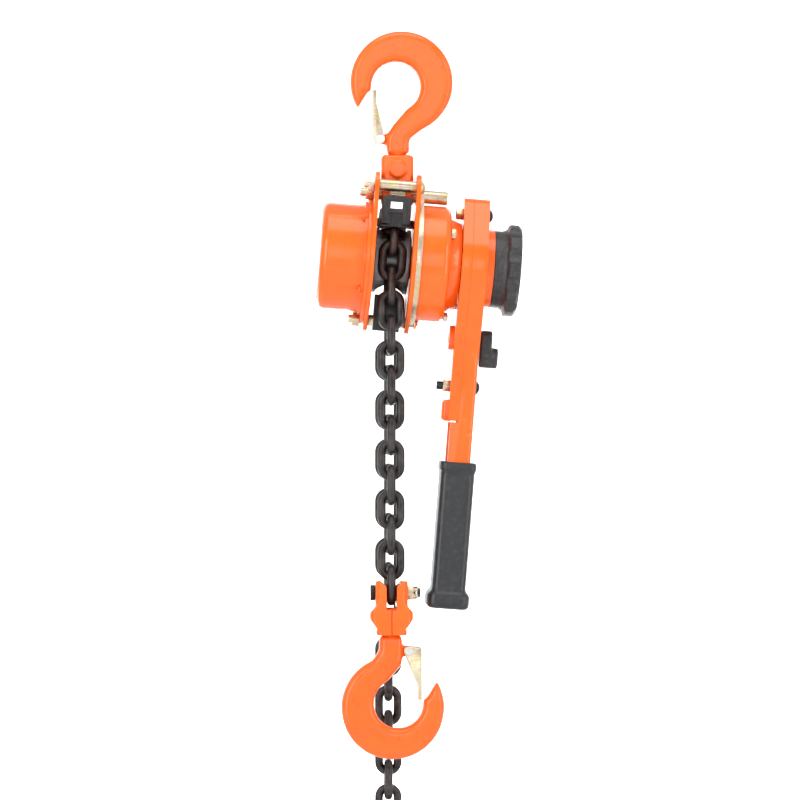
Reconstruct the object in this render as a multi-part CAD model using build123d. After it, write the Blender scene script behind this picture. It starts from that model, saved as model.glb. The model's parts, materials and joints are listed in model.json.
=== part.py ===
from build123d import *
from math import asin, atan2, cos, pi, radians, sin, sqrt, tan
import os

# Lever chain hoist for light lifting and pulling, in millimetres.
# Row frame: origin at the centre of the top hook's bowl, +Z up, the load chain at the front (-Y),
# the gear case at the left (-X) and the hand lever and handwheel at the right (+X).
# The hoist body is drawn upright in its own body frame, whose origin is the middle of the load sheave
# and whose X is the drive axis, and is then hung in the row frame by in_hoist().

# Load chain
chain_wire = 6.0                 # wire diameter of a link
chain_pitch = 18.0               # inside length of a link
chain_inner_width = 7.6          # inside width of a link
chain_gap = 0.12                 # free play between two links that hang from each other
load_links = 13                  # links of the load run under the sheave
slack_links = 26                 # links of the slack run behind it
sheave_pockets = 4               # pockets round the load sheave

# How the hoist body hangs from the top hook
hang_tilt = 4.5                  # the long lever leans the body over its suspension pin, degrees
sheave_drop = 126.3              # from the top bowl's centre down to the sheave's centre
sheave_side = -3.6               # sideways place of the sheave's centre
sheave_depth = 1.7               # fore and aft place of the drive axis, which balances the two runs

# Side plates and the plates on them
plate_gap = 27.2                 # between the two side plates
plate_thickness = 3.0
case_plate_thickness = 3.0
ratchet_plate_thickness = 3.6
plate_radius = 44.0              # round middle of a side plate
plate_head_radius = 12.5         # round corners of its head
plate_head_height = 50.5         # of the corners' centres above the drive axis
plate_head_spread = 16.0         # of the corners' centres, each way
plate_foot_radius = 12.0
plate_foot_drop = 40.0

# Rods through the plates
pin_radius = 4.8                 # suspension pin
pin_height = 48.3                # above the drive axis
stay_radius = 4.2
stay_end_radius = 3.0            # threaded ends of a stay
stay_head_radius = 5.0
front_stay_depth = -20.5         # from the suspension pin to the front stay
front_stay_height = 53.6
rear_stay_depth = 20.5
rear_stay_height = 49.0
bottom_stay_drop = 44.0
rod_nut_flats = 10.0
rod_nut_height = 5.0
pin_reach_right = 37.5           # end of the suspension pin over the brake drum
head_height = 3.2                # domed rod heads at the right

# Gear train
gear_module = 1.4
pinion_teeth = 8
idler_teeth = 20
idler_pinion_teeth = 7
load_gear_teeth = 21
gear_pressure_angle = 20.0
gear_addendum = 0.75             # in modules
gear_dedendum = 1.15             # in modules
gear_undercut = 0.7              # share of a small pinion's tooth that is left at its root
gear_backlash = 0.16             # taken off each flank
load_gear_width = 10.0
idler_gear_width = 7.0
gear_side_gap = 2.0              # between a gear and the next thing along the axis

# Gear case
gear_cover_radius = 39.0
gear_cover_depth = 32.9
cover_wall = 2.6
cover_corner = 6.0
cover_flange_radius = 43.5
cover_boss_wall = 2.6

# Brake
drum_radius = 42.5
drum_depth = 20.7
drum_wall = 2.4
drum_corner = 5.0
cone_radius = 32.0
cone_depth = 8.4
neck_radius = 20.0
neck_reach = 5.2                 # neck inside the lever's bore
friction_radius = 24.0
friction_thickness = 2.5
hub_flange_thickness = 4.0
hub_sleeve_radius = 11.0
ratchet_radius = 29.0
ratchet_root_radius = 25.5
ratchet_teeth = 16
ratchet_thickness = 5.0
brake_gap = 0.15                 # between the faces of the opened brake
pawl_lean = 27.0                 # from a pawl's nose back to its pin, degrees round the axis
pawl_teeth = (4, 12)             # the ratchet teeth that the two pawls hold
pawl_pin_radius = 2.5
pawl_pin_orbit = 35.5
pawl_thickness = 4.6

# Drive shaft and change gear
shaft_radius = 6.0
change_gear_teeth = 12
change_gear_radius = 24.0
change_gear_root_radius = 20.5
change_gear_width = 8.0
change_hub_radius = 14.0

# Lever
lever_gap = 0.5                  # between the brake cover's cone and the lever head
inner_half_thickness = 7.4
outer_half_thickness = 11.2
lever_nut_flats = 8.0
lever_wall = 2.6
lever_head_radius = 34.0
lever_lug_radius = 12.0
lever_lug_height = 38.0
lever_bar_width = 30.0
lever_bar_setback = 1.8          # of the bar's flanges behind the head's inner face
inner_half_clear = 30.0          # from the inner half's lower end to the grip
lever_length = 248.0             # from the drive axis to the end of the grip
grip_length = 106.0
grip_thickness = 24.6
grip_width = 33.0
grip_flange_length = 13.0
lever_boss_radius = 28.5
lever_boss_height = 5.2
selector_drop = 52.0
change_pawl_reach = 30.6         # from the change pawl's pivot to its teeth
change_pawl_spread = 24.0        # of each arm from the lever's line, degrees
lever_bolt_drop = 87.0

# Handwheel
collar_radius = 28.0
collar_length = 8.0
wheel_radius = 33.5
wheel_width = 11.0
wheel_scallops = 10

# Hooks
hook_bowl_radius = 17.8
hook_outer_radius = 37.2
hook_thickness = 15.0
hook_bevel = 3.2
shank_width = 17.4
shank_radius = 6.2
shank_head_radius = 8.6
shank_head_height = 5.0
top_shank_side = -1.0            # shank's place beside the bowl's centre, in the hook's own frame
bottom_shank_side = -5.4
shank_length = 48.0              # from the bowl's centre to the hook's shoulder
latch_pin_radius = 1.8
latch_sheet = 1.2
latch_width = 11.0

# Yokes
top_yoke_width = 23.4
top_yoke_depth = 18.0
yoke_ear_radius = 7.6
bottom_yoke_width = 23.4
bottom_yoke_depth = 24.0
chain_bolt_radius = 3.3

# Clearances
running_gap = 0.05               # radial play of a shaft in its bush
turning_gap = 0.3                # between curved faces of pieces that move past each other
side_gap = 0.4                   # between flat faces of pieces that move past each other

# Derived places along the drive axis
plate_inner = plate_gap / 2
plate_outer = plate_inner + plate_thickness
case_plate_outer = plate_outer + case_plate_thickness
ratchet_plate_outer = plate_outer + ratchet_plate_thickness
cover_end = -(case_plate_outer + gear_cover_depth)
load_gear_start = -(case_plate_outer + gear_side_gap)
load_gear_end = load_gear_start - load_gear_width
idler_start = load_gear_end - gear_side_gap
idler_end = idler_start - idler_gear_width
boss_face = idler_end - gear_side_gap
drum_start = ratchet_plate_outer
drum_end = drum_start + drum_depth
cone_end = drum_end + cone_depth
hub_start = ratchet_plate_outer + 1.2
hub_flange_end = hub_start + hub_flange_thickness
inner_disc_end = hub_flange_end + friction_thickness
ratchet_start = inner_disc_end + brake_gap
ratchet_end = ratchet_start + ratchet_thickness
outer_disc_start = ratchet_end + brake_gap
change_flange_start = outer_disc_start + friction_thickness
change_flange_end = change_flange_start + 3.4
lever_start = cone_end + lever_gap
lever_split = lever_start + inner_half_thickness
lever_end = lever_split + outer_half_thickness
lever_bar_start = lever_start + lever_bar_setback
inner_half_drop = lever_length - grip_length - inner_half_clear
change_gear_start = lever_start + neck_reach + 0.8
boss_end = lever_end + lever_boss_height
collar_start = boss_end + side_gap
wheel_start = collar_start + collar_length
wheel_end = wheel_start + wheel_width
bar_bottom = -(lever_length - grip_length)

# Derived sizes of the chain, the sheave and the gears
link_outer_width = chain_inner_width + 2 * chain_wire
link_arc_radius = (chain_inner_width + chain_wire) / 2
link_straight = chain_pitch + chain_gap - chain_inner_width
link_step = 180 / sheave_pockets
link_end = (chain_pitch + chain_gap + chain_wire) / 2    # from a link's centre to its end wire
link_start = chain_pitch - link_end                     # to its neighbour's end wire
lying_half_angle = atan2(sin(radians(link_step)), link_start / link_end + cos(radians(link_step)))
chain_circle = link_end / tan(lying_half_angle)         # of the links that lie in the pockets
standing_circle = link_start / tan(radians(link_step) - lying_half_angle)
groove_half_width = chain_wire / 2 + 1.3
groove_floor_radius = standing_circle - link_outer_width / 2 - 0.7
pocket_floor = chain_circle - chain_wire / 2 - 0.15
sheave_radius = chain_circle + 3.0
sheave_half_width = plate_inner - 0.9
journal_radius = 12.0
guide_inner_radius = standing_circle + link_outer_width / 2 + 0.7
gear_centres = gear_module * (pinion_teeth + idler_teeth) / 2
pin_depth = -sheave_depth

# The hoist body's place in the row frame
hoist_place = Pos(sheave_side, sheave_depth, -sheave_drop) * Rot(0, hang_tilt, 0)

# The two runs of chain hang plumb from the lowest joints of the links on the sheave
run_top_drop = chain_pitch / 2
run_side = sheave_side - run_top_drop * sin(radians(hang_tilt))
run_top = -sheave_drop - run_top_drop * cos(radians(hang_tilt))
load_depth = sheave_depth - chain_circle
slack_depth = sheave_depth + chain_circle
load_bottom = run_top - load_links * chain_pitch
bolt_height = load_bottom + chain_bolt_radius - chain_gap / 2 + 0.03
bottom_bowl_height = bolt_height - 30.4 - 1.4 - shank_length
slack_bottom = run_top - slack_links * chain_pitch


# ---------------------------------------------------------------- shared shapes

def rod_x(radius, start, end, depth=0.0, height=0.0):
    """A round bar along X."""
    return Pos((start + end) / 2, depth, height) * Rot(0, 90, 0) * Cylinder(radius, end - start)


def rod_y(radius, start, end, side=0.0, height=0.0):
    """A round bar along Y."""
    return Pos(side, (start + end) / 2, height) * Rot(90, 0, 0) * Cylinder(radius, end - start)


def rod_z(radius, bottom, top, side=0.0, depth=0.0):
    """A round bar along Z."""
    return Pos(side, depth, (bottom + top) / 2) * Cylinder(radius, top - bottom)


def ring_x(inner, outer, start, end, depth=0.0, height=0.0):
    """A round tube along X."""
    bore = rod_x(inner, start - 1, end + 1, depth, height)
    return rod_x(outer, start, end, depth, height) - bore


def block(side_range, depth_range, height_range):
    """A box between two limits on each axis."""
    size = [high - low for low, high in (side_range, depth_range, height_range)]
    middle = [(high + low) / 2 for low, high in (side_range, depth_range, height_range)]
    return Pos(*middle) * Box(*size)


def hull_x(circles, start, end):
    """The outline that a band would take round some circles, given as (depth, height, radius)."""
    edges = [(Pos(y, z) * Circle(radius)).edge() for y, z, radius in circles]
    outline = make_hull(edges)
    return extrude(Plane.YZ.offset(start) * outline, end - start)


def hull_y(circles, start, end):
    """A band round some circles given as (side, height, radius), as thick as two depths say."""
    edges = [(Pos(x, z) * Circle(radius)).edge() for x, z, radius in circles]
    outline = make_hull(edges)
    return extrude(Plane.XZ.offset(-end) * outline, end - start)


def hex_x(flats, start, end, depth=0.0, height=0.0):
    """A hexagon nut's body along X."""
    outline = RegularPolygon(flats / 2, 6, major_radius=False)
    return extrude(Plane.YZ.offset(start) * Pos(depth, height) * outline, end - start)


def dome_x(radius, height, start, depth=0.0, place=0.0):
    """A domed rod head on a flat, rising along +X."""
    ball_radius = (radius ** 2 + height ** 2) / (2 * height)
    half_arc = asin(radius / ball_radius) / 2
    middle = (height - ball_radius + ball_radius * cos(half_arc), ball_radius * sin(half_arc))
    arc = ThreePointArc((0, radius), middle, (height, 0))
    profile = make_face(Line((0, 0), (0, radius)) + arc + Line((height, 0), (0, 0)))
    return Pos(start, depth, place) * revolve(Plane.XY * profile, Axis.X, 360)


def in_hoist(solid):
    """Hang a piece that was drawn in the upright body frame."""
    return hoist_place * solid


def save(node, solid):
    """Write one node."""
    export_step(solid, os.path.join("parts", node + ".step"))


# ---------------------------------------------------------------- chain

def chain_link():
    """One round-wire link standing along Z, with its flat side facing Y."""
    half = link_straight / 2
    path = Polyline((link_arc_radius, 0, half), (link_arc_radius, 0, -half)) + ThreePointArc(
        (link_arc_radius, 0, -half), (0, 0, -half - link_arc_radius), (-link_arc_radius, 0, -half)
    )
    path = path + Line((-link_arc_radius, 0, -half), (-link_arc_radius, 0, half)) + ThreePointArc(
        (-link_arc_radius, 0, half), (0, 0, half + link_arc_radius), (link_arc_radius, 0, half)
    )
    section = Plane((link_arc_radius, 0, 0), z_dir=(0, 0, -1)) * Circle(chain_wire / 2)
    return sweep(section, path=path)


def run_of_links(count, depth, first_standing=True):
    """A plumb run under the sheave, every second link turned a quarter."""
    links = []
    for index in range(count):
        standing = (index % 2 == 0) == first_standing
        height = run_top - (index + 0.5) * chain_pitch
        links.append(Pos(run_side, depth, height) * Rot(0, 0, 90 if standing else 0) * chain_link())
    return Compound(children=links)


def links_on_sheave():
    """The links that lie on the load sheave, from its front over the top to its back."""
    links = []
    for index in range(sheave_pockets + 1):
        turn = Rot(-link_step * index, 0, 0)
        standing = index % 2 == 1
        circle = standing_circle if standing else chain_circle
        links.append(turn * Pos(0, -circle, 0) * Rot(0, 0, 90 if standing else 0) * chain_link())
    return Compound(children=links)


def chain_end_ring():
    """The open ring in the last slack link, which stops the chain at the guide."""
    ring_wire = 5.0
    ring_radius = 15.0
    height = slack_bottom + ring_wire / 2 + chain_gap - ring_radius
    ring = Rot(0, 90, 0) * Torus(ring_radius, ring_wire / 2)
    return Pos(run_side, slack_depth, height) * ring


# ---------------------------------------------------------------- hooks

def hook_outline(shank_side):
    """The forged hook from its front: a crescent round the bowl with a throat at the upper right."""
    half = shank_width / 2
    left = shank_side - half
    right = shank_side + half
    crescent = Pos(-4.2, -3.1) * Circle(hook_outer_radius)
    neck = Polygon(
        (left, shank_length), (left, 38.5), (-18.5, 31.5), (-30.5, 22.5), (-20, 2), (-6, 10), (1, 22),
        (right, 36), (right, shank_length), align=None,
    )
    throat = Polygon(
        (right, 60), (right, 36.5), (1.8, 27.5), (-16.2, 6.5), (0, 0), (17.6, 2.6), (20.6, 4.4),
        (28.4, 17.2), (33, 21), (60, 24), (60, 60), align=None,
    )
    return crescent + neck - throat - Circle(hook_bowl_radius)


def latch_pivot_side(shank_side):
    """Sideways place of the latch pivot from the bowl's centre."""
    return shank_side + shank_width / 2 + 3.7


def hook(shank_side):
    """A forged swivel hook with its shank upwards, its bowl's centre at the origin."""
    outline = hook_outline(shank_side)
    body = extrude(Plane.XZ * outline, hook_thickness / 2, both=True)
    flat_edges = body.edges().filter_by(lambda edge: abs(abs(edge.center().Y) - hook_thickness / 2) < 0.01)
    rim = [edge for edge in flat_edges if edge.center().Z < shank_length - 0.5]
    body = chamfer(rim, hook_bevel)
    pivot = latch_pivot_side(shank_side)
    ear = hull_y([(pivot, 38, 3.7), (shank_side, 38, 3.7)], -3.8, 3.8)
    latch_room = block((pivot - 4.6, 40), (-latch_width / 2 - 0.6, latch_width / 2 + 0.6), (20, 52))
    body = body - (latch_room & rod_y(24, -40, 40, pivot, 38)) + ear
    body = body - rod_y(latch_pin_radius + running_gap, -20, 20, pivot, 38)
    top = shank_length + 16.0
    body = body + rod_z(shank_radius, shank_length - 6, top, shank_side)
    return body + rod_z(shank_head_radius, top, top + shank_head_height, shank_side)


def hook_latch(shank_side):
    """A folded sheet latch that closes the throat."""
    pivot = latch_pivot_side(shank_side)
    cheek = hull_y([(pivot, 38, 3.4), (15.4, 39, 1.2), (15.4, 12, 1.2)], -latch_width / 2, latch_width / 2)
    blade = block((14.2, 16.6), (-latch_width / 2, latch_width / 2), (2.5, 30))
    body = cheek + blade
    inside = hull_y([(pivot - 8, 38, 7), (pivot, 38, 7), (15.4 - 3.6, 10, 3.6)], -4.3, 4.3)
    body = body - (inside & block((-30, 16.6 - latch_sheet), (-10, 10), (-5, 60)))
    hollow = block((10, 16.6 - latch_sheet), (-4.3, 4.3), (-5, 60))
    body = body - hollow
    return body - rod_y(latch_pin_radius + running_gap, -20, 20, pivot, 38)


def hook_latch_pin(shank_side):
    """The rivet that the latch turns on."""
    pivot = latch_pivot_side(shank_side)
    half = latch_width / 2
    shank = rod_y(latch_pin_radius, -half - 0.05, half + 0.05, pivot, 38)
    heads = rod_y(3.0, -half - 1.6, -half - 0.05, pivot, 38) + rod_y(3.0, half + 0.05, half + 1.6, pivot, 38)
    return shank + heads


# ---------------------------------------------------------------- yokes

def top_hook():
    """The suspension hook, bowl upwards."""
    return Rot(0, 180, 0) * hook(top_shank_side)


def top_yoke():
    """The swivel yoke: it holds the hook's shank above and the suspension pin in two ears below."""
    shoulder = -shank_length - 1.6
    pin = (hoist_place * Pos(0, pin_depth, pin_height)).position
    half = top_yoke_width / 2
    side = -top_shank_side
    head_room = -shank_length - 16.0 + 0.8
    body = block((side - half, side + half), (-top_yoke_depth / 2, top_yoke_depth / 2), (pin.Z + 4, shoulder))
    upright = body.edges().filter_by(Axis.Z)
    body = chamfer(upright, 2.4)
    body = chamfer(body.faces().sort_by(Axis.Z)[-1].edges(), 1.8)
    ears = extrude(Plane.YZ.offset(side - half) * Circle(yoke_ear_radius), top_yoke_width)
    body = body + Pos(0, pin.Y, pin.Z) * ears
    body = body + rod_y(6.0, -top_yoke_depth / 2 - 1.4, -top_yoke_depth / 2 + 1, side, shoulder - 10.5)
    body = body - block((side - 5.6, side + 5.6), (-20, 20), (pin.Z - 20, head_room - shank_head_height - 4))
    body = body - rod_z(shank_radius + turning_gap, -70, -40, side)
    body = body - rod_z(shank_head_radius + side_gap, head_room - shank_head_height - 6, head_room, side)
    bore = rod_x(pin_radius + running_gap, -60, 60, pin_depth, pin_height)
    return body - in_hoist(bore)


def bottom_hook():
    """The load hook, bowl downwards."""
    return Pos(run_side - bottom_shank_side, load_depth, bottom_bowl_height) * hook(bottom_shank_side)


def bottom_yoke_shape():
    """The whole bottom yoke before it is split, about the chain bolt's centre."""
    half_depth = bottom_yoke_depth / 2
    profile = Polygon(
        (-11.6, 8.7), (11.6, 8.7), (11.6, -9.5), (15.5, -14), (15.5, -19), (11, -25), (11, -30.4),
        (-11, -30.4), (-11, -25), (-15.5, -19), (-15.5, -14), (-11.6, -9.5), align=None,
    )
    body = extrude(Plane.XZ * profile, half_depth, both=True)
    corners = body.edges().filter_by(Axis.Z)
    body = chamfer(corners, 3.0)
    notch = Polygon((-8, 9), (8, 9), (0, 1), align=None)
    body = body - extrude(Plane.XZ * notch, half_depth + 1, both=True)
    slot_half = chain_wire / 2 + 0.6
    body = body - block((-slot_half, slot_half), (-20, 20), (-12.2, 20))
    body = body - rod_z(shank_radius + turning_gap, -40, -15)
    floor = -30.4 - 1.4 + 16.0 - 0.8
    body = body - rod_z(shank_head_radius + side_gap, floor, floor + shank_head_height + 1.4)
    return body - rod_x(chain_bolt_radius + running_gap, -30, 30)


def bottom_yoke_half(left):
    """One half of the bottom yoke."""
    joint_gap = 0.1
    sides = (-40, -joint_gap) if left else (joint_gap, 40)
    keep = block(sides, (-40, 40), (-60, 40))
    half = bottom_yoke_shape() & keep
    return Pos(run_side, load_depth, bolt_height) * half


def chain_bolt():
    """The bolt that carries the last link of the load run."""
    half = bottom_yoke_width / 2
    body = rod_x(chain_bolt_radius, -half - 1, half + 9.2)
    body = body + rod_x(5.6, -half - 3.2, -half - 0.05)
    body = body - rod_y(0.9, -10, 10, half + 6.0)
    return Pos(run_side, load_depth, bolt_height) * body


def chain_bolt_nut():
    """Castle nut on the chain bolt."""
    start = bottom_yoke_width / 2 + 0.05
    body = hex_x(10.0, start, start + 4.2) + ring_x(3.3, 4.6, start + 4.0, start + 7.4)
    for turn in range(3):
        body = body - Rot(60 * turn, 0, 0) * block((start + 4.4, start + 8), (-8, 8), (-1.05, 1.05))
    body = body - rod_x(chain_bolt_radius + 0.02, -10, start + 20)
    return Pos(run_side, load_depth, bolt_height) * body


def chain_bolt_split_pin():
    """Split pin through the castle nut."""
    place = bottom_yoke_width / 2 + 6.0
    body = rod_y(0.8, -6.4, 7.5, place) + Pos(place, -7.6, 0) * Rot(0, 90, 0) * Torus(1.7, 0.75)
    return Pos(run_side, load_depth, bolt_height) * body


# ---------------------------------------------------------------- plates and rods

def plate_outline(grow=0.0):
    """The pear shape of a side plate, as circles for hull_x."""
    spread = plate_head_spread
    head = plate_head_radius + grow
    return [
        (0, 0, plate_radius + grow),
        (pin_depth - spread, plate_head_height, head),
        (pin_depth + spread, plate_head_height, head),
        (0, -plate_foot_drop, plate_foot_radius + grow),
    ]


def rods():
    """Place and radius of each rod through the plates: depth, height, radius at the plates."""
    return [
        (pin_depth + front_stay_depth, front_stay_height, stay_end_radius),
        (pin_depth + rear_stay_depth, rear_stay_height, stay_end_radius),
        (0, -bottom_stay_drop, stay_end_radius),
    ]


def drilled(plate):
    """Cut the rods' holes in a plate."""
    for depth, height, radius in rods():
        plate = plate - rod_x(radius + 0.1, -60, 60, depth, height)
    return plate - rod_x(pin_radius + 0.02, -60, 60, pin_depth, pin_height)


def bearing_outer_radius():
    """Seat of a sheave bearing in a plate."""
    return journal_radius + 6.0


def side_plate(right):
    """One of the two side plates that carry the sheave."""
    start = plate_inner if right else -plate_outer
    plate = hull_x(plate_outline(), start, start + plate_thickness)
    plate = drilled(plate)
    plate = plate - rod_x(bearing_outer_radius() + 0.01, -60, 60)
    return plate - guide_tab(0.1)


def gear_case_plate():
    """The plate that closes the gear case and carries the idler gears' inner journals."""
    outline = [(0, 0, cover_flange_radius), (0, -32, 14)]
    plate = hull_x(outline, -case_plate_outer, -plate_outer)
    plate = plate - rod_x(stay_end_radius + 0.1, -60, 60, 0, -bottom_stay_drop)
    plate = plate - rod_x(journal_radius + 0.6, -60, 60)
    for side in (-1, 1):
        plate = plate - rod_x(4.0 + running_gap, -60, 60, side * gear_centres, 0)
    return plate - rod_x(rod_nut_flats / 2 + 1.1, -60, 0, pin_depth, pin_height)


def ratchet_plate():
    """The plated disc on the brake side that carries the pawl pins."""
    outline = [(0, 0, plate_radius), (0, 42, 12), (0, -36, 10)]
    plate = hull_x(outline, plate_outer, ratchet_plate_outer)
    plate = plate - rod_x(pin_radius + 0.02, -60, 60, pin_depth, pin_height)
    plate = plate - rod_x(stay_end_radius + 0.1, -60, 60, 0, -bottom_stay_drop)
    plate = plate - rod_x(shaft_radius + 3.4, -60, 60)
    for depth, height in pawl_places():
        plate = plate - rod_x(pawl_pin_radius - 0.4, -60, 60, depth, height)
    return plate


def suspension_pin():
    """The pin that the hoist body hangs from, with its long end over the brake drum."""
    body = rod_x(pin_radius, -plate_outer - 0.2, pin_reach_right)
    body = body + rod_x(stay_end_radius, -plate_outer - rod_nut_height - 4.5, -plate_outer)
    return Pos(0, pin_depth, pin_height) * body


def stay_bolt(depth, height, right_face, left_face):
    """A stay: a thick spacer between the plates with a domed head at the right and a thread at the left."""
    body = rod_x(stay_radius, -plate_inner + 0.02, plate_inner - 0.02, depth, height)
    body = body + rod_x(stay_end_radius, -left_face - rod_nut_height - 3.0, right_face + 0.1, depth, height)
    return body + dome_x(stay_head_radius, head_height, right_face + 0.02, depth, height)


def stay_bolts():
    """The three stays that hold the plates apart."""
    front, rear, bottom = rods()
    return Compound(children=[
        stay_bolt(front[0], front[1], plate_outer, plate_outer),
        stay_bolt(rear[0], rear[1], plate_outer, plate_outer),
        stay_bolt(bottom[0], bottom[1], ratchet_plate_outer, case_plate_outer),
    ])


def rod_nut(depth, height, face):
    """A nut on a rod's left end."""
    nut = hex_x(rod_nut_flats, -face - 0.02 - rod_nut_height, -face - 0.02, depth, height)
    return nut - rod_x(stay_end_radius + 0.02, -100, 0, depth, height)


def rod_nuts():
    """The nuts of the stays and of the suspension pin."""
    front, rear, bottom = rods()
    return Compound(children=[
        rod_nut(front[0], front[1], plate_outer),
        rod_nut(rear[0], rear[1], plate_outer),
        rod_nut(bottom[0], bottom[1], case_plate_outer),
        rod_nut(pin_depth, pin_height, plate_outer + 0.2),
    ])


def bearing(start, end):
    """A roller bearing's pieces: an outer ring and the rollers that run on the sheave's journal."""
    outer = bearing_outer_radius()
    race = outer - 2.0
    roller_radius = (race - journal_radius) / 2 - 0.03
    orbit = (race + journal_radius) / 2
    pieces = [ring_x(race, outer, start, end)]
    count = 16
    for index in range(count):
        angle = 2 * pi * index / count
        pieces.append(rod_x(roller_radius, start + 0.3, end - 0.3, orbit * cos(angle), orbit * sin(angle)))
    return pieces


def sheave_bearings():
    """The two bearings of the load sheave in the side plates."""
    return Compound(children=bearing(-plate_outer, -plate_inner) + bearing(plate_inner, plate_outer))


def guide_tab(grow=0.0):
    """The bar across the guide whose ends enter the side plates."""
    return block((-plate_outer, plate_outer), (21 - grow, 27 + grow), (25.5 - grow, 31.5 + grow))


def chain_guide():
    """The cast guide over the sheave, with a crest and window in front and tabs that enter the plates."""
    half = 10.5
    roof = rod_x(guide_inner_radius + 4.2, -half, half)
    roof = roof & block((-20, 20), (-60, 60), (24.0, 60))
    crest = block((-half, half), (-29, -20.5), (26.0, 45.4))
    body = roof + crest + guide_tab()
    body = body - rod_x(guide_inner_radius, -30, 30)
    window = block((-4.4, 4.4), (-60, 0), (37.0, 42.0))
    front_slot = block((-4.6, 4.6), (-60, -25.5), (10, 34.0))
    stay_room = rod_x(stay_radius + 0.5, -30, 30, pin_depth + front_stay_depth, front_stay_height)
    pin_room = rod_x(yoke_ear_radius + 0.6, -30, 30, pin_depth, pin_height)
    return body - window - front_slot - stay_room - pin_room


def chain_stripper():
    """The block on the bottom stay whose tongue lifts the chain out of the sheave's groove."""
    body = block((-9.5, 9.5), (-7.5, 7.5), (-bottom_stay_drop - 7, -sheave_radius - 1.5))
    tongue_half = groove_half_width - 0.9
    tongue = block((-tongue_half, tongue_half), (-7.0, 7.0), (-sheave_radius - 5, -groove_floor_radius - 1.2))
    body = body + tongue
    return body - rod_x(stay_radius + 0.05, -30, 30, 0, -bottom_stay_drop)


# ---------------------------------------------------------------- gears, sheave and shafts

def gear_outline(teeth):
    """An involute gear's outline with one tooth centred on the first axis."""
    pitch_radius = gear_module * teeth / 2
    base_radius = pitch_radius * cos(radians(gear_pressure_angle))
    tip_radius = pitch_radius + gear_addendum * gear_module
    root_radius = pitch_radius - gear_dedendum * gear_module
    pressure = radians(gear_pressure_angle)
    half_at_pitch = pi / (2 * teeth) - gear_backlash / pitch_radius

    def half_angle(radius):
        roll = sqrt(max(radius ** 2 - base_radius ** 2, 0)) / base_radius
        half = half_at_pitch + tan(pressure) - pressure - (roll - atan2(roll, 1))
        return half * gear_undercut if radius < base_radius else half

    start_radius = max(base_radius, root_radius)
    steps = 4
    flank = [start_radius + (tip_radius - start_radius) * step / steps for step in range(steps + 1)]
    flank = [root_radius] + flank if root_radius < base_radius else flank
    points = []
    for tooth in range(teeth):
        middle = 2 * pi * tooth / teeth
        rising = [(radius, middle - half_angle(radius)) for radius in flank]
        falling = [(radius, middle + half_angle(radius)) for radius in reversed(flank)]
        points += [(radius * cos(angle), radius * sin(angle)) for radius, angle in rising + falling]
    return Polygon(*points, align=None)


def gear(teeth, start, end, depth=0.0, phase=0.0):
    """A spur gear between two places on a drive axis."""
    outline = Pos(depth, 0) * Rot(0, 0, phase) * gear_outline(teeth)
    low = min(start, end)
    return extrude(Plane.YZ.offset(low) * outline, abs(end - start))


def load_sheave():
    """The pocket wheel that carries the chain, with its journals and the seat of the load gear."""
    body = rod_x(sheave_radius, -sheave_half_width, sheave_half_width)
    groove = ring_x(groove_floor_radius, sheave_radius + 5, -groove_half_width, groove_half_width)
    body = body - groove
    pocket_width = link_outer_width + 0.8
    pocket_length = chain_pitch + 2 * chain_wire + 1.2
    slot = SlotOverall(pocket_length, pocket_width, rotation=90)
    pocket = extrude(Plane.XZ.offset(pocket_floor) * slot, 30)
    for index in range(sheave_pockets):
        body = body - Rot(-360 / sheave_pockets * index, 0, 0) * pocket
    body = body + rod_x(journal_radius, -case_plate_outer, -sheave_half_width)
    body = body + rod_x(journal_radius, sheave_half_width, plate_outer)
    body = body + rod_x(load_gear_seat_radius(), load_gear_end - 1.6, -case_plate_outer)
    ring_groove = ring_x(load_gear_seat_radius() - 0.6, 20, load_gear_end - 1.3, load_gear_end - 0.2)
    body = body - ring_groove
    return body - rod_x(shaft_radius + running_gap, -80, 80)


def load_gear_seat_radius():
    """The sheave's end that the load gear is pressed on."""
    return journal_radius - 2.5


def load_gear():
    """The gear that turns the sheave."""
    body = gear(load_gear_teeth, load_gear_end, load_gear_start)
    return body - rod_x(load_gear_seat_radius() + 0.01, -80, 0)


def load_gear_ring():
    """Snap ring that keeps the load gear on the sheave."""
    seat = load_gear_seat_radius()
    body = ring_x(seat - 0.55, seat + 1.4, load_gear_end - 1.2, load_gear_end - 0.3)
    return body - block((-80, 0), (-2, 2), (0, 20))


def idler_gear(side):
    """A stepped idler: its large gear meets the drive pinion, its small one the load gear."""
    depth = side * gear_centres
    half_tooth = 180 / idler_teeth
    body = gear(idler_teeth, idler_end, idler_start, depth, half_tooth)
    body = body + gear(idler_pinion_teeth, idler_start - 0.5, load_gear_start, depth)
    body = body + rod_x(4.0, load_gear_start, -plate_outer - 0.3, depth, 0)
    return body + rod_x(4.0, boss_face - 6.0, idler_end, depth, 0)


def idler_bushes():
    """Bushes of the idlers and of the drive shaft in the gear cover's bosses."""
    bushes = []
    for side in (-1, 0, 1):
        bush = ring_x(4.0 + running_gap, 5.4, boss_face - 6.4, boss_face - 0.1, side * gear_centres, 0)
        bushes.append(bush)
    return Compound(children=bushes)


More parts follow.
